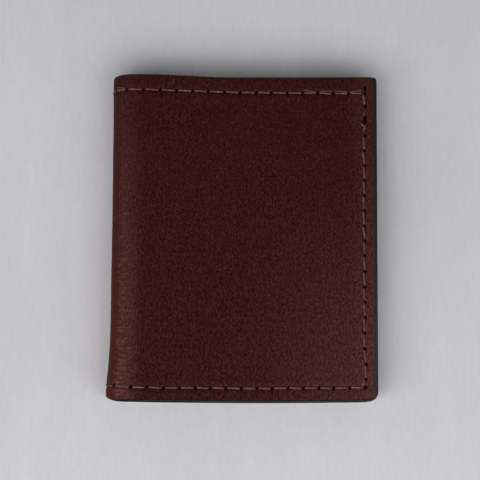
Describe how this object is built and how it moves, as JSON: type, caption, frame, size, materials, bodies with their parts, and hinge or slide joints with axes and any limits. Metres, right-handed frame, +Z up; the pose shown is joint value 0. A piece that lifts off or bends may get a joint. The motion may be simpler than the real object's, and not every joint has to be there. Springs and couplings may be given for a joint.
{
  "type": "bifold wallet",
  "caption": "Slim bifold leather wallet, closed: wrap-round leather cover with a flat spine, cloth lining, stepped inner pockets and a hand-stitched seam. Opens flat like a book.",
  "frame": {"origin": "middle of the closed wallet's outline, on the surface that it lies on", "axes": "+X from the spine to the free edge, +Y from the foot to the head, +Z up through the closed wallet, from the back cover to the front cover"},
  "size_m": [0.0816, 0.1, 0.0122],
  "materials": {
    "cover_leather": "oxblood-brown pebbled leather, satin",
    "pocket_leather": "oxblood-brown leather, thinner and smoother",
    "lining_cloth": "fine dark twill",
    "thread": "waxed brown twisted thread"
  },
  "bodies": {
    "back": {"back_cover": "cover_leather", "back_lining": "lining_cloth", "back_note_pocket": "pocket_leather", "back_card_pocket_outer": "pocket_leather", "back_card_pocket_inner": "pocket_leather", "back_outer_thread": "thread", "back_inner_thread": "thread"},
    "spine": {"spine_cover": "cover_leather", "spine_lining": "lining_cloth", "spine_head_outer_thread": "thread", "spine_head_inner_thread": "thread", "spine_foot_outer_thread": "thread", "spine_foot_inner_thread": "thread"},
    "front": {"front_cover": "cover_leather", "front_lining": "lining_cloth", "front_note_pocket": "pocket_leather", "front_card_pocket_outer": "pocket_leather", "front_card_pocket_inner": "pocket_leather", "front_outer_thread": "thread", "front_inner_thread": "thread"}
  },
  "joints": [
    {"name": "spine_fold", "type": "hinge", "parent": "back", "child": "spine", "pos_m": [-0.03921, 0, 0.00154], "axis": [0, -1, 0], "range_deg": [0, 90]},
    {"name": "front_fold", "type": "hinge", "parent": "spine", "child": "front", "pos_m": [-0.03921, 0, 0.01066], "axis": [0, -1, 0], "range_deg": [0, 90]}
  ],
  "couplings": [
    {"joint": "front_fold", "follows": "spine_fold", "ratio": 1}
  ]
}
